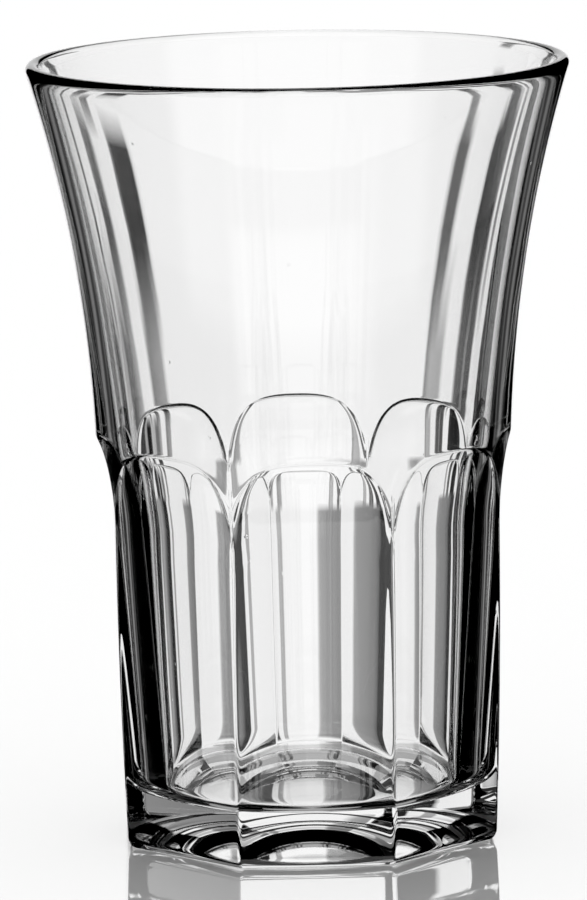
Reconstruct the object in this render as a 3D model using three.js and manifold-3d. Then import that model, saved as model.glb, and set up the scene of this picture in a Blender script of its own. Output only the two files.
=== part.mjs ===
// Soda tumbler in clear pressed glass: a flared round bowl over a body of arched panels, on a thick base.
// The real glass is one pressing. It is modelled whole, then divided on level planes into the zones
// that a glassmaker names: base, panelled body, flared bowl and lip.
// Millimetres, +Z up, origin at the centre of the foot, one panel facing -Y.
import * as THREE from "three";
import { mergeVertices } from "three/addons/utils/BufferGeometryUtils.js";
import Module from "manifold-3d";

const wasm = await Module();
wasm.setup();

// Outside of the glass
const HEIGHT = 125;
const RIM_RADIUS = 43.1;
const RIM_ANGLE = 17; // degrees that the wall leans out at the lip
const SHOULDER_RADIUS = 33.25; // round body at the crowns of the arches
const SHOULDER_HEIGHT = 65.4;
const SHOULDER_ANGLE = 2.2; // degrees that the wall leans out where the flare starts

// Arched panels round the lower body
const PANEL_COUNT = 8;
const RIDGE_SETBACK = 0.25; // corner between two panels, inside the shoulder, at the springing of the arches
const PANEL_DRAFT = 1.1; // how much further in that corner stands just above the heel
const ARCH_RISE = 13.2; // springing to crown
const SWEEP_HANDLE = 4.5; // how slowly a panel starts to sweep out towards its crown
const LEDGE_REACH = 1.7; // run of the ledge under the crown
const LEDGE_DROP = 0.9; // fall of the ledge over that run
const DRUM_OVERSIZE = 0.05; // how far the plain drum stands outside the panels' corners
const HEEL_RADIUS = 2; // rounded edge between a panel and the foot

// Thickness of the glass, and the bore that the plunger leaves
const LIP_THICKNESS = 2.2;
const BORE_RIM_ANGLE = 19; // degrees that the bore leans out at the lip
const SHOULDER_WALL = 3.2;
const PANEL_WALL = 3.9; // middle of a panel, at the top of the floor fillet
const FLOOR_THICKNESS = 8.4; // foot plane to the bore's floor
const FLOOR_FILLET = 3;
const FOOT_RING = 2.5; // flat that the glass stands on, between the heel of a panel and the punt
const PUNT_DEPTH = 5.2; // domed hollow under the foot

// Levels at which the pressing is divided
const LIP_HEIGHT = 3; // below the top of the glass
const BOWL_CLEARANCE = 2; // above the crowns of the arches
const FILLET_CLEARANCE = 1; // above the floor fillet

// Fineness of the facets
const TURN_STEPS = 80;
const FLARE_STEPS = 10;
const ARC_STEPS = 8;
const SWEEP_STEPS = 12;
const PANEL_STEPS = 4;
const OVERCUT = 2; // how far cutters run past what they cut

const glass = new THREE.MeshStandardMaterial({
  color: 0xf1f5f5,
  roughness: 0.04,
  metalness: 0,
  transparent: true,
  opacity: 0.35,
});

const degrees = THREE.MathUtils.degToRad;
const point = (radius, height) => new THREE.Vector2(radius, height);
const leaning = (angle) => point(Math.sin(degrees(angle)), Math.cos(degrees(angle)));

// Where a line from a along u meets a line from b along v.
function meeting(a, u, b, v) {
  const along = b.clone().sub(a).cross(v) / u.cross(v);
  return a.clone().addScaledVector(u, along);
}

// A smooth sweep between two points, leaving along u and arriving along v.
function sweep(a, u, b, v) {
  return new THREE.QuadraticBezierCurve(a, meeting(a, u, b, v), b).getPoints(FLARE_STEPS);
}

// A round from one angle to another about a centre, in degrees from the outward radius.
function round(centre, radius, from, to) {
  const steps = Array.from({ length: ARC_STEPS + 1 }, (_, i) => degrees(from + ((to - from) * i) / ARC_STEPS));
  return steps.map((a) => point(centre.x + radius * Math.cos(a), centre.y + radius * Math.sin(a)));
}

// A closed three.js geometry as a solid that can be joined and cut.
function solid(geometry) {
  const bare = geometry.clone();
  bare.deleteAttribute("normal");
  bare.deleteAttribute("uv");
  const merged = mergeVertices(bare, 1e-4);
  return new wasm.Manifold(
    new wasm.Mesh({
      numProp: 3,
      vertProperties: merged.attributes.position.array,
      triVerts: new Uint32Array(merged.index.array),
    }),
  );
}

// A solid back as a three.js geometry.
function geometryOf(made) {
  const mesh = made.getMesh();
  return new THREE.BufferGeometry()
    .setAttribute("position", new THREE.BufferAttribute(mesh.vertProperties, 3))
    .setIndex(new THREE.BufferAttribute(mesh.triVerts, 1));
}

// A profile of (radius, height) points, from the axis to the axis, turned round +Z.
function turned(profile) {
  return solid(new THREE.LatheGeometry(profile, TURN_STEPS).rotateX(Math.PI / 2));
}

// The lip is a full round across the wall, square to the wall's lean.
const lipRound = LIP_THICKNESS / 2;
const lipCentre = point(RIM_RADIUS - lipRound, HEIGHT - lipRound);

// Half the angle between two panels, and the distance from the axis to a flat whose corner is at a radius.
const halfPanel = Math.PI / PANEL_COUNT;
const flatOf = (cornerRadius) => cornerRadius * Math.cos(halfPanel);
const springHeight = SHOULDER_HEIGHT - ARCH_RISE;
const ridgeRadius = SHOULDER_RADIUS - RIDGE_SETBACK;
const footRadius = ridgeRadius - PANEL_DRAFT;
const puntRadius = flatOf(footRadius) - HEEL_RADIUS - FOOT_RING;

// The whole outside before the panels are cut: punt, foot, plain drum, flare and lip.
function outside() {
  const shoulder = point(SHOULDER_RADIUS, SHOULDER_HEIGHT);
  const puntSphere = (puntRadius ** 2 + PUNT_DEPTH ** 2) / (2 * PUNT_DEPTH);
  const puntReach = THREE.MathUtils.radToDeg(Math.asin(puntRadius / puntSphere));
  const punt = round(point(0, PUNT_DEPTH - puntSphere), puntSphere, 90, 90 - puntReach);
  const [rimOuter, ...overLip] = round(lipCentre, lipRound, -RIM_ANGLE, 90);
  return turned([
    ...punt,
    point(ridgeRadius + DRUM_OVERSIZE, 0),
    point(ridgeRadius + DRUM_OVERSIZE, springHeight),
    ...sweep(shoulder, leaning(SHOULDER_ANGLE), rimOuter, leaning(RIM_ANGLE)),
    ...overLip,
    point(0, HEIGHT),
  ]);
}

// One panel seen from the side, as everything outside its face: heel, flat, sweep and ledge.
function panelCutter() {
  const foot = flatOf(footRadius);
  const spring = flatOf(ridgeRadius);
  const beyond = SHOULDER_RADIUS + OVERCUT;
  const side = new THREE.Shape();
  side.moveTo(foot - HEEL_RADIUS, -OVERCUT);
  side.lineTo(foot - HEEL_RADIUS, 0);
  side.absarc(foot - HEEL_RADIUS, HEEL_RADIUS, HEEL_RADIUS, -Math.PI / 2, 0, false);
  const flat = new THREE.QuadraticBezierCurve(
    point(foot, HEEL_RADIUS),
    point(spring, (HEEL_RADIUS + springHeight) / 2),
    point(spring, springHeight),
  );
  const toCrown = new THREE.CubicBezierCurve(
    point(spring, springHeight),
    point(spring, springHeight + SWEEP_HANDLE),
    point(SHOULDER_RADIUS - LEDGE_REACH, SHOULDER_HEIGHT - LEDGE_DROP),
    point(SHOULDER_RADIUS, SHOULDER_HEIGHT),
  );
  [...flat.getPoints(PANEL_STEPS), ...toCrown.getPoints(SWEEP_STEPS)].forEach((p) => side.lineTo(p.x, p.y));
  side.lineTo(beyond, SHOULDER_HEIGHT + (LEDGE_DROP * OVERCUT) / LEDGE_REACH);
  side.lineTo(beyond, -OVERCUT);
  const width = 2 * beyond * Math.tan(halfPanel);
  return new THREE.ExtrudeGeometry(side, { depth: width, bevelEnabled: false, curveSegments: ARC_STEPS })
    .translate(0, 0, -width / 2)
    .rotateX(Math.PI / 2);
}

// The bore: level floor, fillet, tapered wall up to the shoulder, then the flare out through the mouth.
function bore() {
  const wallFoot = point(flatOf(footRadius) - PANEL_WALL, FLOOR_THICKNESS + FLOOR_FILLET);
  const wallTop = point(SHOULDER_RADIUS - SHOULDER_WALL, SHOULDER_HEIGHT);
  const taper = wallTop.clone().sub(wallFoot).normalize();
  const fillet = round(point(wallFoot.x - FLOOR_FILLET, wallFoot.y), FLOOR_FILLET, -90, 0);
  const overLip = round(lipCentre, lipRound, 180 - BORE_RIM_ANGLE, 90);
  return turned([
    point(0, FLOOR_THICKNESS),
    ...fillet,
    ...sweep(wallTop, taper, overLip[0], leaning(BORE_RIM_ANGLE)),
    ...overLip.slice(1),
    point(lipCentre.x, HEIGHT + OVERCUT),
    point(0, HEIGHT + OVERCUT),
  ]);
}

// The pressing as one solid.
function pressing() {
  const cutter = panelCutter();
  let body = outside();
  for (let i = 0; i < PANEL_COUNT; i++) {
    body = body.subtract(solid(cutter.clone().rotateZ(2 * halfPanel * i - Math.PI / 2)));
  }
  return body.subtract(bore());
}

// The part of the pressing between two levels.
function zone(body, low, high) {
  const across = 2 * (RIM_RADIUS + OVERCUT);
  const slab = new THREE.BoxGeometry(across, across, high - low).translate(0, 0, (low + high) / 2);
  return body.intersect(solid(slab));
}

const levels = {
  base: [-OVERCUT, FLOOR_THICKNESS + FLOOR_FILLET + FILLET_CLEARANCE],
  panelled_body: [FLOOR_THICKNESS + FLOOR_FILLET + FILLET_CLEARANCE, SHOULDER_HEIGHT + BOWL_CLEARANCE],
  flared_bowl: [SHOULDER_HEIGHT + BOWL_CLEARANCE, HEIGHT - LIP_HEIGHT],
  lip: [HEIGHT - LIP_HEIGHT, HEIGHT + OVERCUT],
};

const tumbler = new THREE.Group();
tumbler.name = "soda_tumbler";
const body = pressing();
for (const [name, [low, high]] of Object.entries(levels)) {
  const mesh = new THREE.Mesh(geometryOf(zone(body, low, high)), glass);
  mesh.name = name;
  tumbler.add(mesh);
}

export default tumbler;
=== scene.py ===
"""Soda tumbler of clear pressed glass on a pale polished floor, in bright soft light.

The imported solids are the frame: base, panelled body, flared bowl and lip. The real glass is one
pressing, so one continuous mesh, with its rounded ridges, arches and lip, stands for all four.
"""

import math

import bpy
import numpy as np
from mathutils import Matrix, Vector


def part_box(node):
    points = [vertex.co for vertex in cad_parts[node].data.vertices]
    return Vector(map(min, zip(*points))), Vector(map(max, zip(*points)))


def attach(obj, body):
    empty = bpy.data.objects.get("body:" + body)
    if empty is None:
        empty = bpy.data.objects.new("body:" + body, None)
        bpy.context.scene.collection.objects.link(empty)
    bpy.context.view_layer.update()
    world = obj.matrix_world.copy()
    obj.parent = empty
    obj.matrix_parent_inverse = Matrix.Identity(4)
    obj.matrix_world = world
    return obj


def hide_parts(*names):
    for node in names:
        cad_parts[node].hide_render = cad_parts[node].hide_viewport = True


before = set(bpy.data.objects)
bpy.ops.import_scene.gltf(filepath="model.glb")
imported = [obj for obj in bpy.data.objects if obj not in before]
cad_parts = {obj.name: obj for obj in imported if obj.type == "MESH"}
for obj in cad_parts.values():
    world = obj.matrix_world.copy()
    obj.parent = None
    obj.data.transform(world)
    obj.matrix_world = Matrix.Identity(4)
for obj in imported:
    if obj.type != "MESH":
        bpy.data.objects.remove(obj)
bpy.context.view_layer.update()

MM = 0.001

# Sizes of the glass in millimetres, as in the solids
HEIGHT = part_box("lip")[1].z / MM
RIM_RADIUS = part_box("lip")[1].x / MM
RIM_ANGLE = math.radians(17)
BORE_RIM_ANGLE = math.radians(19)
SHOULDER_RADIUS = 33.25
SHOULDER_HEIGHT = 65.4
SHOULDER_ANGLE = math.radians(2.2)
PANEL_COUNT = 8
RIDGE_SETBACK = 0.25
PANEL_DRAFT = 1.1
ARCH_RISE = 13.2
SWEEP_HANDLE = 4.5
LEDGE_REACH = 1.7
LEDGE_DROP = 0.9
HEEL_RADIUS = 2.0
LIP_THICKNESS = 2.2
SHOULDER_WALL = 3.2
PANEL_WALL = 3.9
FLOOR_THICKNESS = 8.4
FLOOR_FILLET = 3.0
FOOT_RING = 2.5
PUNT_DEPTH = 5.2

HALF_PANEL = math.pi / PANEL_COUNT
RIDGE_RADIUS = SHOULDER_RADIUS - RIDGE_SETBACK
FOOT_RADIUS = RIDGE_RADIUS - PANEL_DRAFT
SPRING_HEIGHT = SHOULDER_HEIGHT - ARCH_RISE
PUNT_RADIUS = FOOT_RADIUS * math.cos(HALF_PANEL) - HEEL_RADIUS - FOOT_RING
LIP_ROUND = LIP_THICKNESS / 2
LIP_CENTRE = (RIM_RADIUS - LIP_ROUND, HEIGHT - LIP_ROUND)

# Softness of the pressed edges as a blending length, which changes over these heights about the spring
RIDGE_BLEND = 0.12
ARCH_BLEND = 0.08
BLEND_CHANGE = (SPRING_HEIGHT - 6, SPRING_HEIGHT + 3)

# Small step with which a panel drops from the round body along its arch
ARCH_STEP = 0.3
STEP_START = 0.06
STEP_EASE = 0.1
STEP_RISE = (SPRING_HEIGHT - 1, SPRING_HEIGHT + 5)

# Fineness of the glass mesh: points round a panel, and rows from the foot over the lip to the floor
COLUMNS_PER_PANEL = 52
RIDGE_CROWDING = 1.5
PUNT_ROWS = 12
FOOT_ROWS = 7
HEEL_ROWS = 9
BAND_ROWS = 25
BOWL_ROWS = 38
LIP_ROWS = 19
WALL_ROWS = 18
FILLET_ROWS = 14
FLOOR_ROWS = 9
CURVE_POINTS = 120
INNER_FLARE_STEP = 3
HEEL_POINTS = 40
UNDER_ARCH = 5.0
OVER_ARCH = 4.0
BAND_TOP = 74.0
WELD = 0.001

# Search for the blended outside and the arch line: brackets in share and millimetres, samples and limits
INNER_BRACKET = 0.8
OUTER_BRACKET = 0.5
HALVINGS = 44
STEEPEST = 60
ARCH_BRACKET = 4
ARCH_SAMPLES = 600
ARCH_TOUCH = 0.001
LEDGES_PAST = 10
FAR_OUT = 300

# Finish of the glass, in millimetres, and how dull the worn foot is
WAVE_LENGTH = 11.0
WAVE_HEIGHT = 0.016
SEED_SPACING = 12.5
SEED_RADIUS = 0.35
SEED_HEIGHT = 0.1
WEAR_HEIGHT = 0.25
FOOT_ROUGHNESS = 0.3
GLASS_IOR = 1.52

# The floor
FLOOR_SIZE = 8.0
FLOOR_GLOSS = 0.68
FLOOR_ROUGHNESS = 0.03

# The photograph's viewpoint, in metres and degrees
CAMERA_DISTANCE = 1.107
CAMERA_HEIGHT = 0.2469
CAMERA_SIDE = -0.00162
CAMERA_TURN = math.radians(-2)
CAMERA_PITCH = math.radians(9.48)
CAMERA_ROLL = math.radians(-0.98)
CAMERA_LENS = 280.8
SENSOR_WIDTH = 36

# Ring round the glass that carries painted reflections and refractions, seen only through the glass, in
# millimetres
PAINTED_RING_RADIUS = 150
PAINTED_RING_FOOT = -250
PAINTED_RING_TOP = 350
PAINTED_RING_SIDES = 180

# Its four rows of painted bands, white and dark, one over another, as (degrees from the middle of the back,
# share of white): painted reflections and refractions that the glass shows. Past a row's span the same
# bands stand again behind every panel.
PAINTED_BAND_SPAN = 36
FRONT_SPAN = 33
LOW_PAINTED_BANDS = [
    (-36, 0.4), (-31, 0.36), (-28, 0.22), (-25, 0.1), (-24, 0.02), (-19, 0.02), (-18.7, 0.9), (-15.8, 0.95),
    (-15.4, 0.42), (-13.2, 0.42), (-12.6, 0.97), (6.8, 0.97), (8.4, 0.42), (10, 0.33), (20, 0.26), (26, 0.2),
    (29, 0.12), (30, 0.02), (36, 0.02),
]
MIDDLE_PAINTED_BANDS = [
    (-36, 0), (-28, 0.02), (-27.4, 0.4), (-26, 0.4), (-25.5, 0.01), (-23.2, 0.02), (-22.6, 0.6),
    (-20.6, 0.5), (-20, 0.16), (-18.6, 0.16), (-18, 0.3), (-17, 0.5), (-16.6, 0.97), (-14.5, 0.97),
    (-14.2, 0.26), (-12, 0.42), (-11.7, 0.97), (13.8, 1), (14, 0.26), (14.5, 0.5), (16, 0.46),
    (16.4, 0.97), (18.4, 0.97), (18.7, 0.15), (20, 0.1), (20.4, 0.35), (20.8, 0.08), (22, 0.08),
    (22.4, 1), (25, 1), (25.3, 0.03), (36, 0),
]
HIGH_PAINTED_BANDS = [
    (-36, 0), (-27.2, 0), (-25.8, 0.8), (-22.6, 1), (-22.3, 0.05), (-21.6, 0.05), (-21.3, 1), (-18.8, 0.95),
    (-18.4, 0.06), (-17, 0.08), (-16.7, 0.5), (-16.3, 0.97), (-13.95, 0.97), (-13.75, 0.03), (-11.5, 0.03),
    (-11.2, 1), (13.7, 1), (13.95, 0.12), (15, 0.12), (15.3, 0.97), (18.2, 0.97), (18.5, 0.02), (21.6, 0.02),
    (22.1, 1), (22.6, 1), (22.8, 0.15), (23.3, 0.15), (23.5, 1), (24.8, 1), (25.2, 0), (36, 0),
]
TOP_PAINTED_BANDS = [
    (-36, 0), (-29, 0), (-27, 0.8), (-16.6, 0.9), (-16.3, 0.06), (-15.2, 0.06), (-14.9, 1), (13.8, 1),
    (14, 0.3), (14.6, 0.3), (14.8, 1), (18.9, 1), (19.2, 0.05), (20.9, 0.05), (21.2, 1), (27, 0.8), (29, 0),
    (36, 0),
]

# Heights at which one row gives way to the next, the painted bands lean, end at the top and are plain at the
# foot
LOW_TO_MIDDLE = [(PAINTED_RING_FOOT, 0), (22, 0), (26.5, 1), (PAINTED_RING_TOP, 1)]
MIDDLE_TO_HIGH = [(PAINTED_RING_FOOT, 0), (50, 0), (75, 1), (PAINTED_RING_TOP, 1)]
HIGH_TO_TOP = [(PAINTED_RING_FOOT, 0), (90, 0), (94, 1), (PAINTED_RING_TOP, 1)]
PAINTED_BAND_LEAN = [
    (PAINTED_RING_FOOT, 1), (50, 1), (62, 0.98), (76, 0.935), (82, 0.905), (88, 0.875), (91, 0.852), (94, 0.82),
    (97, 0.8), (PAINTED_RING_TOP, 0.8),
]
OPEN_TOP = [(PAINTED_RING_FOOT, 0), (102, 0), (104, 1), (PAINTED_RING_TOP, 1)]
UNDER_FLOOR = [(PAINTED_RING_FOOT, 1), (-180, 1), (-120, 0), (PAINTED_RING_TOP, 0)]
PAINTED_BAND_ROWS = [
    (LOW_PAINTED_BANDS, None, PAINTED_BAND_SPAN),
    (MIDDLE_PAINTED_BANDS, LOW_TO_MIDDLE, FRONT_SPAN),
    (HIGH_PAINTED_BANDS, MIDDLE_TO_HIGH, FRONT_SPAN),
    (TOP_PAINTED_BANDS, HIGH_TO_TOP, FRONT_SPAN),
]

# The room past the painted ring, as (degrees round from the middle of the back or up, share of white), for
# light straight through the glass, for light mirrored inside it and for the gloss of its outside. Its dark
# parts are painted reflections and refractions that only the glass shows.
OPEN_RISE = [(-90, 1), (9, 1), (11, 0.6), (40, 0.6), (90, 0.4)]
MIRROR_RISE = [
    (-90, 0.4), (-60, 0.35), (-50, 0.2), (-45, 0.45), (-28, 0.6), (-22, 1), (9, 1), (10.5, 0.03), (19, 0.03),
    (22, 0.4), (35, 0.4), (40, 0.02), (45, 0.1), (70, 0.3), (90, 0.3),
]
MIRROR_ROUND = [(0, 1), (69.9, 1), (70.1, 0), (136, 0), (144, 1), (180, 1)]
MIRROR_PAINTED_BANDS = [
    (0, 1), (27, 1), (27.5, 0), (37, 0.02), (38.5, 0.1), (40.5, 0.27), (42.5, 0.27), (44.5, 0.06),
    (46.5, 0.04), (48, 0.13), (50, 0), (136, 0), (144, 1), (180, 1),
]
GLOSS_RISE = [(-90, 1), (-24, 1), (-21, 0), (-15.6, 0), (-14.4, 1), (90, 1)]
GLOSS_ROUND = [(0, 1), (11.9, 1), (12.1, 0), (112, 0), (120, 1), (180, 1)]

# Surfaces that light passes through both walls, and how far such light off the floor counts as straight
WALL_SURFACES = 4
FLOOR_SHARE = 0.5


def linear(colour):
    """An sRGB hex colour as linear red, green, blue and alpha."""
    channels = [int(colour[i:i + 2], 16) / 255 for i in (1, 3, 5)]
    return [c / 12.92 if c <= 0.04045 else ((c + 0.055) / 1.055) ** 2.4 for c in channels] + [1.0]


WHITE = linear("#ffffff")


def add(tree, kind, settings=None, **links):
    """Adds a node with its settings and ramp stops, and links inputs by name or, as _0, by number."""
    node = tree.nodes.new(kind)
    for name, value in (settings or {}).items():
        if name == "stops":
            span = value[-1][0] - value[0][0]
            while len(node.color_ramp.elements) < len(value):
                node.color_ramp.elements.new(1)
            for element, (place, level) in zip(node.color_ramp.elements, value):
                element.position = (place - value[0][0]) / span
                element.color = (level, level, level, 1)
        elif isinstance(name, int) or not hasattr(node, name):
            node.inputs[name].default_value = value
        else:
            setattr(node, name, value)
    for name, source in links.items():
        key = int(name[1:]) if name[1:].isdigit() else name.replace("_", " ")
        tree.links.new(source, node.inputs[key])
    return node


# Form of the pressing


def curve(*corners):
    """Points along a smooth curve between its first and last corners, drawn by those in between."""
    t = np.linspace(0, 1, CURVE_POINTS)[:, None]
    layers = [np.array(c, float) for c in corners]
    while len(layers) > 1:
        layers = [a + (b - a) * t for a, b in zip(layers, layers[1:])]
    return layers[0]


def round_corner(centre, radius, start, end, steps):
    """Points of a round about a centre, from one angle to another."""
    turn = np.linspace(start, end, steps)
    return np.stack([centre[0] + radius * np.cos(turn), centre[1] + radius * np.sin(turn)], axis=1)


def meeting(a, u, b, v):
    """Where a line from a along u meets a line from b along v."""
    gap = np.subtract(b, a)
    along = (gap[0] * v[1] - gap[1] * v[0]) / (u[0] * v[1] - u[1] * v[0])
    return np.add(a, np.multiply(u, along))


def leaning(angle):
    """Direction of a line that leans outwards from upright by an angle."""
    return math.sin(angle), math.cos(angle)


def flat_of(corner_radius):
    """Distance from the axis to a panel whose corners are at a radius."""
    return corner_radius * math.cos(HALF_PANEL)


def panel_side():
    """One panel from the side, as (radius, height): heel, flat, sweep, ledge and on past the body."""
    foot, spring = flat_of(FOOT_RADIUS), flat_of(RIDGE_RADIUS)
    heel = round_corner((foot - HEEL_RADIUS, HEEL_RADIUS), HEEL_RADIUS, -math.pi / 2, 0, HEEL_POINTS)
    middle = (HEEL_RADIUS + SPRING_HEIGHT) / 2
    flat = curve((foot, HEEL_RADIUS), (spring, middle), (spring, SPRING_HEIGHT))
    sweep = curve(
        (spring, SPRING_HEIGHT),
        (spring, SPRING_HEIGHT + SWEEP_HANDLE),
        (SHOULDER_RADIUS - LEDGE_REACH, SHOULDER_HEIGHT - LEDGE_DROP),
        (SHOULDER_RADIUS, SHOULDER_HEIGHT),
    )
    past = (SHOULDER_RADIUS + LEDGES_PAST * LEDGE_REACH, SHOULDER_HEIGHT + LEDGES_PAST * LEDGE_DROP)
    return np.concatenate([heel, flat[1:], sweep[1:], [past, (FAR_OUT, HEIGHT)]])


def flare(start, start_lean, side, rim_angle):
    """The outside or inside of the flared bowl, from the shoulder to the lip's round."""
    end = (
        LIP_CENTRE[0] + side * LIP_ROUND * math.cos(rim_angle),
        LIP_CENTRE[1] - side * LIP_ROUND * math.sin(rim_angle),
    )
    return curve(start, meeting(start, start_lean, end, leaning(rim_angle)), end)


PANEL_SIDE = panel_side()
OUTER_FLARE = flare((SHOULDER_RADIUS, SHOULDER_HEIGHT), leaning(SHOULDER_ANGLE), 1, RIM_ANGLE)
DRUM_SIDE = np.concatenate([[(RIDGE_RADIUS, 0), (RIDGE_RADIUS, SPRING_HEIGHT)], OUTER_FLARE])


def panel_reach(height):
    """Distance from the axis to a panel's face at a height."""
    return np.interp(height, PANEL_SIDE[:, 1], PANEL_SIDE[:, 0])


def drum_reach(height):
    """Radius of the round body at a height."""
    return np.interp(height, DRUM_SIDE[:, 1], DRUM_SIDE[:, 0])


def arch_height(turn):
    """Height at which a panel runs out into the round body, at an angle from the panel's middle."""
    heights = np.linspace(SPRING_HEIGHT - ARCH_BRACKET, SHOULDER_HEIGHT, ARCH_SAMPLES)
    short = panel_reach(heights)[None, :] - drum_reach(heights)[None, :] * np.cos(turn)[:, None]
    crossing = np.argmax(short > -ARCH_TOUCH, axis=1)
    return heights[crossing]


def outer_radius(turn, height):
    """Radius of the outside: panels and drum, blended where they meet, with the step at the arches."""
    blend = np.interp(height, BLEND_CHANGE, [RIDGE_BLEND, ARCH_BLEND])
    reach, drum = panel_reach(height), drum_reach(height)
    low, high = INNER_BRACKET * reach.clip(max=drum), drum + OUTER_BRACKET
    for _ in range(HALVINGS):
        middle = (low + high) / 2
        total = np.exp(((middle - drum) / blend).clip(-STEEPEST, STEEPEST))
        for k in (-1, 0, 1):
            over = middle * np.cos(turn - 2 * HALF_PANEL * k) - reach
            total = total + np.exp((over / blend).clip(-STEEPEST, STEEPEST))
        outside = total > 1
        low, high = np.where(outside, low, middle), np.where(outside, middle, high)
    radius = (low + high) / 2
    inset = (drum - radius - STEP_START).clip(min=0)
    step = ARCH_STEP * np.interp(height, STEP_RISE, [0, 1])
    return radius - step * (1 - np.exp(-inset / STEP_EASE))


def bore_side():
    """The bore as (radius, height) points, from the lip down to the middle of the floor."""
    wall_foot = np.array((flat_of(FOOT_RADIUS) - PANEL_WALL, FLOOR_THICKNESS + FLOOR_FILLET))
    wall_top = np.array((SHOULDER_RADIUS - SHOULDER_WALL, SHOULDER_HEIGHT))
    taper = (wall_top - wall_foot) / np.linalg.norm(wall_top - wall_foot)
    inner_flare = flare(wall_top, taper, -1, BORE_RIM_ANGLE)[::-INNER_FLARE_STEP]
    wall = np.linspace(wall_top, wall_foot, WALL_ROWS)
    corner = (wall_foot[0] - FLOOR_FILLET, wall_foot[1])
    fillet = round_corner(corner, FLOOR_FILLET, 0, -math.pi / 2, FILLET_ROWS)
    floor = np.linspace(fillet[-1], (0, FLOOR_THICKNESS), FLOOR_ROWS)
    return np.concatenate([inner_flare, wall[1:], fillet[1:], floor[1:]])


def columns():
    """Angles round the glass, and the same from the middle of their panel, crowded towards the ridges."""
    share = np.linspace(-1, 1, COLUMNS_PER_PANEL + 1)
    local = HALF_PANEL * np.tanh(RIDGE_CROWDING * share) / math.tanh(RIDGE_CROWDING)
    turns = [local[:-1] + 2 * HALF_PANEL * k for k in range(PANEL_COUNT)]
    turn = np.concatenate(turns + [[2 * math.pi - HALF_PANEL]])
    return turn, np.concatenate([local[:-1]] * PANEL_COUNT + [local[:1]])


def outer_heights(local):
    """Heights of the mesh's rows on the outside, crowded along the edge of each arch."""
    arch = arch_height(local)[None, :]
    heel = HEEL_RADIUS * (1 - np.cos(np.linspace(0, math.pi / 2, HEEL_ROWS)))[:, None] + 0 * arch
    under, over = arch - UNDER_ARCH, arch + OVER_ARCH
    share = np.linspace(0, 1, BAND_ROWS)[1:, None]
    flat = HEEL_RADIUS + (under - HEEL_RADIUS) * share
    below = arch - UNDER_ARCH * (1 - share) ** 2
    above = arch + OVER_ARCH * share[::2] ** 2
    shoulder = over + (BAND_TOP - over) * share[::2]
    bowl_share = np.linspace(0, 1, BOWL_ROWS)[1:, None]
    bowl = BAND_TOP + (OUTER_FLARE[-1, 1] - BAND_TOP) * bowl_share + 0 * arch
    return np.concatenate([heel, flat, below, above, shoulder, bowl])


def pressed_form():
    """Angle of each mesh column, and radius and height of each point, from under the foot to the floor."""
    turn, local = columns()
    heights = outer_heights(local)
    radii = outer_radius(np.broadcast_to(local, heights.shape), heights)
    level = np.ones_like(turn)[None, :]
    punt_ball = (PUNT_RADIUS ** 2 + PUNT_DEPTH ** 2) / (2 * PUNT_DEPTH)
    punt_radii = np.linspace(0, PUNT_RADIUS, PUNT_ROWS)[:, None] * level
    punt_heights = PUNT_DEPTH - punt_ball + np.sqrt(punt_ball ** 2 - punt_radii ** 2)
    share = np.linspace(0, 1, FOOT_ROWS)[1:-1, None]
    foot_radii = PUNT_RADIUS + (radii[:1] - PUNT_RADIUS) * share
    lip = round_corner(LIP_CENTRE, LIP_ROUND, -RIM_ANGLE, math.pi - BORE_RIM_ANGLE, LIP_ROWS)[1:-1]
    inside = np.concatenate([lip, bore_side()])
    all_radii = [punt_radii, foot_radii, radii, inside[:, :1] * level]
    all_heights = [punt_heights, 0 * foot_radii, heights, inside[:, 1:] * level]
    return turn, np.concatenate(all_radii), np.concatenate(all_heights)


def make_tumbler():
    """The whole glass as one closed skin: a flat grid rolled round the axis and laid on the pressed form."""
    turn, radii, heights = pressed_form()
    rows, across = radii.shape
    bpy.ops.object.select_all(action="DESELECT")
    bpy.ops.mesh.primitive_grid_add(x_subdivisions=across - 1, y_subdivisions=rows - 1, size=2)
    tumbler = bpy.context.object
    tumbler.name = "tumbler"
    tumbler.data.name = "tumbler"
    places = np.empty(len(tumbler.data.vertices) * 3)
    tumbler.data.vertices.foreach_get("co", places)
    shares = (places.reshape(-1, 3)[:, :2].T + 1) / 2
    column, row = np.rint(shares * [[across - 1], [rows - 1]]).astype(int)
    radius, height = radii[row, column], heights[row, column]
    rolled = np.stack([radius * np.sin(turn[column]), -radius * np.cos(turn[column]), height], axis=1)
    tumbler.data.vertices.foreach_set("co", (rolled * MM).ravel())
    bpy.ops.object.mode_set(mode="EDIT")
    bpy.ops.mesh.select_all(action="SELECT")
    bpy.ops.mesh.remove_doubles(threshold=WELD * MM)
    bpy.ops.mesh.normals_make_consistent(inside=False)
    bpy.ops.object.mode_set(mode="OBJECT")
    bpy.ops.object.shade_smooth()
    return tumbler


# Materials


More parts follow.
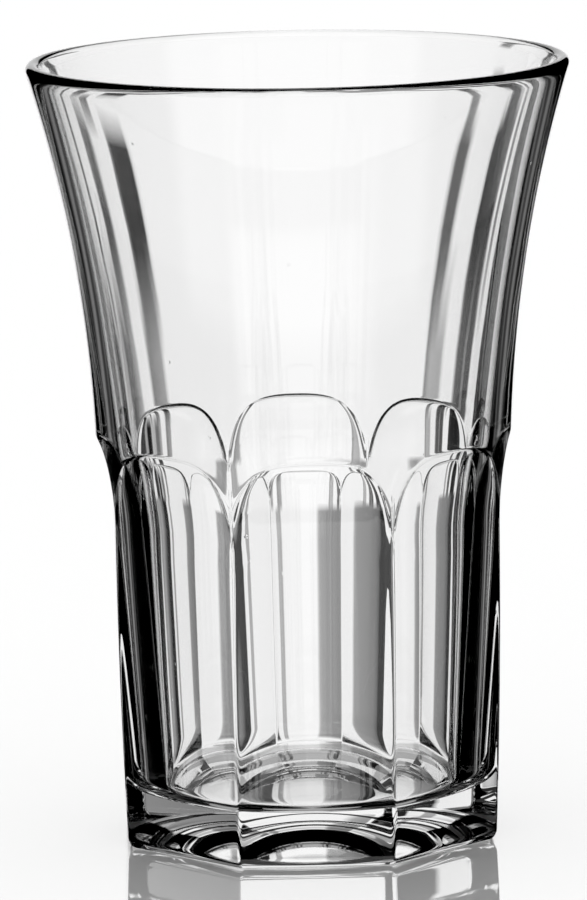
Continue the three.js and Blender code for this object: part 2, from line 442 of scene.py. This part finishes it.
def soda_lime_glass():
    """Pressed soda-lime glass: clear, with faint waves from the mould, a few seeds and a dull worn foot."""
    material = bpy.data.materials.new("soda_lime_glass")
    material.use_nodes = True
    tree = material.node_tree
    shader = tree.nodes["Principled BSDF"]
    shader.inputs["Base Color"].default_value = WHITE
    shader.inputs["IOR"].default_value = GLASS_IOR
    shader.inputs["Transmission Weight"].default_value = 1.0
    place = add(tree, "ShaderNodeTexCoord").outputs["Object"]
    waves = add(tree, "ShaderNodeTexNoise", {"Scale": 1 / (WAVE_LENGTH * MM), "Detail": 0.0}, Vector=place)
    seeds = add(tree, "ShaderNodeTexVoronoi", {"Scale": 1 / (SEED_SPACING * MM)}, Vector=place)
    seed_form = {
        "From Min": 0.0,
        "From Max": SEED_RADIUS / SEED_SPACING,
        "To Min": SEED_HEIGHT / WAVE_HEIGHT,
        "To Max": 0.0,
    }
    seeds = add(tree, "ShaderNodeMapRange", seed_form, Value=seeds.outputs["Distance"])
    relief = add(tree, "ShaderNodeMath", {"operation": "ADD"}, _0=waves.outputs[0], _1=seeds.outputs[0])
    bump = add(tree, "ShaderNodeBump", {"Distance": WAVE_HEIGHT * MM}, Height=relief.outputs[0])
    tree.links.new(bump.outputs[0], shader.inputs["Normal"])
    height = add(tree, "ShaderNodeSeparateXYZ", _0=place).outputs["Z"]
    wear = {"From Min": 0.0, "From Max": WEAR_HEIGHT * MM, "To Min": FOOT_ROUGHNESS, "To Max": 0.0}
    worn = add(tree, "ShaderNodeMapRange", wear, Value=height)
    tree.links.new(worn.outputs[0], shader.inputs["Roughness"])
    return material


def white_acrylic():
    """Polished white acrylic sheet: a pale even body under a clear, bright mirror image."""
    material = bpy.data.materials.new("white_acrylic")
    material.use_nodes = True
    tree = material.node_tree
    tree.nodes.clear()
    body = add(tree, "ShaderNodeBsdfDiffuse", {"Color": WHITE})
    gloss = add(tree, "ShaderNodeBsdfGlossy", {"Color": WHITE, "Roughness": FLOOR_ROUGHNESS})
    both = add(tree, "ShaderNodeMixShader", {"Fac": FLOOR_GLOSS}, _1=body.outputs[0], _2=gloss.outputs[0])
    add(tree, "ShaderNodeOutputMaterial", Surface=both.outputs[0])
    return material


# Studio


def make_floor():
    """The pale floor. Light inside the glass doesn't see it: the painted ring and the room go on under it.
    """
    bpy.ops.object.select_all(action="DESELECT")
    bpy.ops.mesh.primitive_plane_add(size=FLOOR_SIZE)
    floor = bpy.context.object
    floor.name = "floor"
    floor.data.materials.append(white_acrylic())
    floor.visible_transmission = False
    floor.visible_glossy = False


def mirrored_light(tree):
    """How far light was mirrored inside the glass, less the share of light off the floor and through."""
    path = add(tree, "ShaderNodeLightPath").outputs
    mirrored = add(tree, "ShaderNodeMath", {"operation": "GREATER_THAN", 1: 0.5}, _0=path["Glossy Depth"])
    once = add(tree, "ShaderNodeMath", {"operation": "COMPARE", 1: 1.0, 2: 0.5}, _0=path["Glossy Depth"])
    both_walls = {"operation": "COMPARE", 1: WALL_SURFACES, 2: 0.5}
    through = add(tree, "ShaderNodeMath", both_walls, _0=path["Transmission Depth"])
    floor = add(tree, "ShaderNodeMath", {"operation": "MULTIPLY"}, _0=once.outputs[0], _1=through.outputs[0])
    floor = add(tree, "ShaderNodeMath", {"operation": "MULTIPLY", 1: FLOOR_SHARE}, _0=floor.outputs[0])
    less = {"operation": "SUBTRACT"}
    return add(tree, "ShaderNodeMath", less, _0=mirrored.outputs[0], _1=floor.outputs[0])


def painted_reflection_bands():
    """Painted reflections and refractions for the glass: white and dark bands on one thin round sheet, which
    passes its share of the room's white.
    """
    material = bpy.data.materials.new("painted_reflection_ring")
    material.use_nodes = True
    tree = material.node_tree
    tree.nodes.clear()
    place = add(tree, "ShaderNodeTexCoord").outputs["Object"]
    parts = add(tree, "ShaderNodeSeparateXYZ", _0=place).outputs
    turn = add(tree, "ShaderNodeMath", {"operation": "ARCTAN2"}, _0=parts["X"], _1=parts["Y"])
    turn = add(tree, "ShaderNodeMath", {"operation": "DEGREES"}, _0=turn.outputs[0])
    aside = add(tree, "ShaderNodeMath", {"operation": "ABSOLUTE"}, _0=turn.outputs[0])
    tall = {"From Min": PAINTED_RING_FOOT * MM, "From Max": PAINTED_RING_TOP * MM}
    height = add(tree, "ShaderNodeMapRange", tall, Value=parts["Z"])
    mirrored = mirrored_light(tree)

    # The rows of painted bands, leaning with height and standing again behind every panel
    lean = add(tree, "ShaderNodeValToRGB", {"stops": PAINTED_BAND_LEAN}, Fac=height.outputs[0])
    half_panel = math.degrees(HALF_PANEL)
    panel = {"operation": "WRAP", 1: half_panel, 2: -half_panel}
    again = add(tree, "ShaderNodeMath", panel, _0=turn.outputs[0])
    across = {"From Min": -PAINTED_BAND_SPAN, "From Max": PAINTED_BAND_SPAN}
    painted_bands = None
    for stops, rise, span in PAINTED_BAND_ROWS:
        own = add(tree, "ShaderNodeMath", {"operation": "LESS_THAN", 1: span}, _0=aside.outputs[0])
        near = add(
            tree, "ShaderNodeMix", {"data_type": "FLOAT"},
            _0=own.outputs[0], _2=again.outputs[0], _3=turn.outputs[0],
        )
        near = add(tree, "ShaderNodeMath", {"operation": "MULTIPLY"}, _0=near.outputs[0], _1=lean.outputs[0])
        near = add(tree, "ShaderNodeMapRange", across, Value=near.outputs[0])
        row = add(tree, "ShaderNodeValToRGB", {"stops": stops}, Fac=near.outputs[0])
        if painted_bands is None:
            painted_bands = row
            continue
        share = add(tree, "ShaderNodeValToRGB", {"stops": rise}, Fac=height.outputs[0])
        painted_bands = add(
            tree, "ShaderNodeMix", {"data_type": "FLOAT"},
            _0=share.outputs[0], _2=painted_bands.outputs[0], _3=row.outputs[0],
        )

    # Plain white at the foot for straight light, and a painted darker ring for light mirrored inside the
    # glass
    under = add(tree, "ShaderNodeValToRGB", {"stops": UNDER_FLOOR}, Fac=height.outputs[0])
    none = {"data_type": "FLOAT", 3: 0.0}
    under = add(tree, "ShaderNodeMix", none, _0=mirrored.outputs[0], _2=under.outputs[0])
    full = {"data_type": "FLOAT", 3: 1.0}
    painted_bands = add(tree, "ShaderNodeMix", full, _0=under.outputs[0], _2=painted_bands.outputs[0])
    half_round = add(tree, "ShaderNodeMapRange", {"From Min": 0, "From Max": 180}, Value=aside.outputs[0])
    lit = add(tree, "ShaderNodeValToRGB", {"stops": MIRROR_PAINTED_BANDS}, Fac=half_round.outputs[0])
    straight = {"data_type": "FLOAT", 2: 1.0}
    lit = add(tree, "ShaderNodeMix", straight, _0=mirrored.outputs[0], _3=lit.outputs[0])
    level = add(tree, "ShaderNodeMath", {"operation": "MULTIPLY"}, _0=painted_bands.outputs[0], _1=lit.outputs[0])
    sheet = add(tree, "ShaderNodeBsdfTransparent", Color=level.outputs[0])

    # The open top, where the painted bands end and the sheet glows the room's white: painted light that only
    # the glass shows
    white = add(tree, "ShaderNodeEmission", {"Color": WHITE, "Strength": 1.0})
    behind = add(tree, "ShaderNodeMath", {"operation": "LESS_THAN", 1: PAINTED_BAND_SPAN}, _0=aside.outputs[0])
    behind = add(tree, "ShaderNodeMix", straight, _0=mirrored.outputs[0], _3=behind.outputs[0])
    top = add(tree, "ShaderNodeValToRGB", {"stops": OPEN_TOP}, Fac=height.outputs[0])
    top = add(tree, "ShaderNodeMath", {"operation": "MULTIPLY"}, _0=top.outputs[0], _1=behind.outputs[0])
    both = add(tree, "ShaderNodeMixShader", Fac=top.outputs[0], _1=sheet.outputs[0], _2=white.outputs[0])
    add(tree, "ShaderNodeOutputMaterial", Surface=both.outputs[0])
    return material


def make_painted_reflection_ring():
    """The ring of painted reflections and refractions, which only light that has come through the glass
    sees.
    """
    bpy.ops.object.select_all(action="DESELECT")
    bpy.ops.mesh.primitive_cylinder_add(
        vertices=PAINTED_RING_SIDES,
        radius=PAINTED_RING_RADIUS * MM,
        depth=(PAINTED_RING_TOP - PAINTED_RING_FOOT) * MM,
        end_fill_type="NOTHING",
    )
    painted_ring = bpy.context.object
    painted_ring.name = "painted_reflection_ring"
    painted_ring.location.z = (PAINTED_RING_TOP + PAINTED_RING_FOOT) / 2 * MM
    bpy.ops.object.transform_apply(location=True)
    painted_ring.data.materials.append(painted_reflection_bands())
    painted_ring.visible_camera = False
    painted_ring.visible_diffuse = False
    painted_ring.visible_glossy = False
    painted_ring.visible_shadow = False


def make_world():
    """A white room for eye and floor, with dark parts for light inside the glass and for its gloss: painted
    reflections and refractions that only the glass shows.
    """
    world = bpy.data.worlds.new("studio")
    bpy.context.scene.world = world
    world.use_nodes = True
    tree = world.node_tree
    tree.nodes.clear()
    towards = add(tree, "ShaderNodeTexCoord").outputs["Generated"]
    parts = add(tree, "ShaderNodeSeparateXYZ", _0=towards).outputs
    turn = add(tree, "ShaderNodeMath", {"operation": "ARCTAN2"}, _0=parts["X"], _1=parts["Y"])
    aside = add(tree, "ShaderNodeMath", {"operation": "ABSOLUTE"}, _0=turn.outputs[0])
    half_turn = {"From Min": 0, "From Max": math.pi}
    half_round = add(tree, "ShaderNodeMapRange", half_turn, Value=aside.outputs[0])
    rise = add(tree, "ShaderNodeMath", {"operation": "ARCSINE"}, _0=parts["Z"])
    rise = add(tree, "ShaderNodeMath", {"operation": "DEGREES"}, _0=rise.outputs[0])
    rise = add(tree, "ShaderNodeMapRange", {"From Min": -90, "From Max": 90}, Value=rise.outputs[0])

    # Painted refractions: the room that light through the glass sees, straight or mirrored inside it
    straight = add(tree, "ShaderNodeValToRGB", {"stops": OPEN_RISE}, Fac=rise.outputs[0])
    inside = add(tree, "ShaderNodeValToRGB", {"stops": MIRROR_RISE}, Fac=rise.outputs[0])
    side = add(tree, "ShaderNodeValToRGB", {"stops": MIRROR_ROUND}, Fac=half_round.outputs[0])
    inside = add(tree, "ShaderNodeMath", {"operation": "MULTIPLY"}, _0=side.outputs[0], _1=inside.outputs[0])
    through = add(
        tree, "ShaderNodeMix", {"data_type": "FLOAT"},
        _0=mirrored_light(tree).outputs[0], _2=straight.outputs[0], _3=inside.outputs[0],
    )
    # Painted reflections in the outside gloss of the glass: dark round the sides, white behind and towards
    # the front
    gloss = add(tree, "ShaderNodeValToRGB", {"stops": GLOSS_ROUND}, Fac=half_round.outputs[0])
    low = add(tree, "ShaderNodeValToRGB", {"stops": GLOSS_RISE}, Fac=rise.outputs[0])
    gloss = add(tree, "ShaderNodeMath", {"operation": "MULTIPLY"}, _0=gloss.outputs[0], _1=low.outputs[0])
    path = add(tree, "ShaderNodeLightPath").outputs
    white = {"data_type": "FLOAT", 2: 1.0}
    outside = add(tree, "ShaderNodeMix", white, _0=path["Is Singular Ray"], _3=gloss.outputs[0])
    strength = add(
        tree, "ShaderNodeMix", {"data_type": "FLOAT"},
        _0=path["Is Transmission Ray"], _2=outside.outputs[0], _3=through.outputs[0],
    )
    light = add(tree, "ShaderNodeBackground", {"Color": WHITE}, Strength=strength.outputs[0])
    add(tree, "ShaderNodeOutputWorld", Surface=light.outputs[0])


def make_camera():
    """The camera at the photograph's viewpoint, a little above the glass and turned from its front."""
    camera = bpy.data.objects.new("camera", bpy.data.cameras.new("camera"))
    camera.data.lens = CAMERA_LENS
    camera.data.sensor_width = SENSOR_WIDTH
    bpy.context.scene.collection.objects.link(camera)
    camera.matrix_world = (
        Matrix.Rotation(CAMERA_TURN, 4, "Z")
        @ Matrix.Translation((CAMERA_SIDE, -CAMERA_DISTANCE, CAMERA_HEIGHT))
        @ Matrix.Rotation(math.pi / 2 - CAMERA_PITCH, 4, "X")
        @ Matrix.Rotation(CAMERA_ROLL, 4, "Z")
    )
    bpy.context.scene.camera = camera


make_camera()
make_world()
make_painted_reflection_ring()
make_floor()
tumbler = make_tumbler()
tumbler.data.materials.append(soda_lime_glass())
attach(tumbler, "root")
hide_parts("base", "panelled_body", "flared_bowl", "lip")

bpy.context.scene.view_settings.view_transform = "Standard"
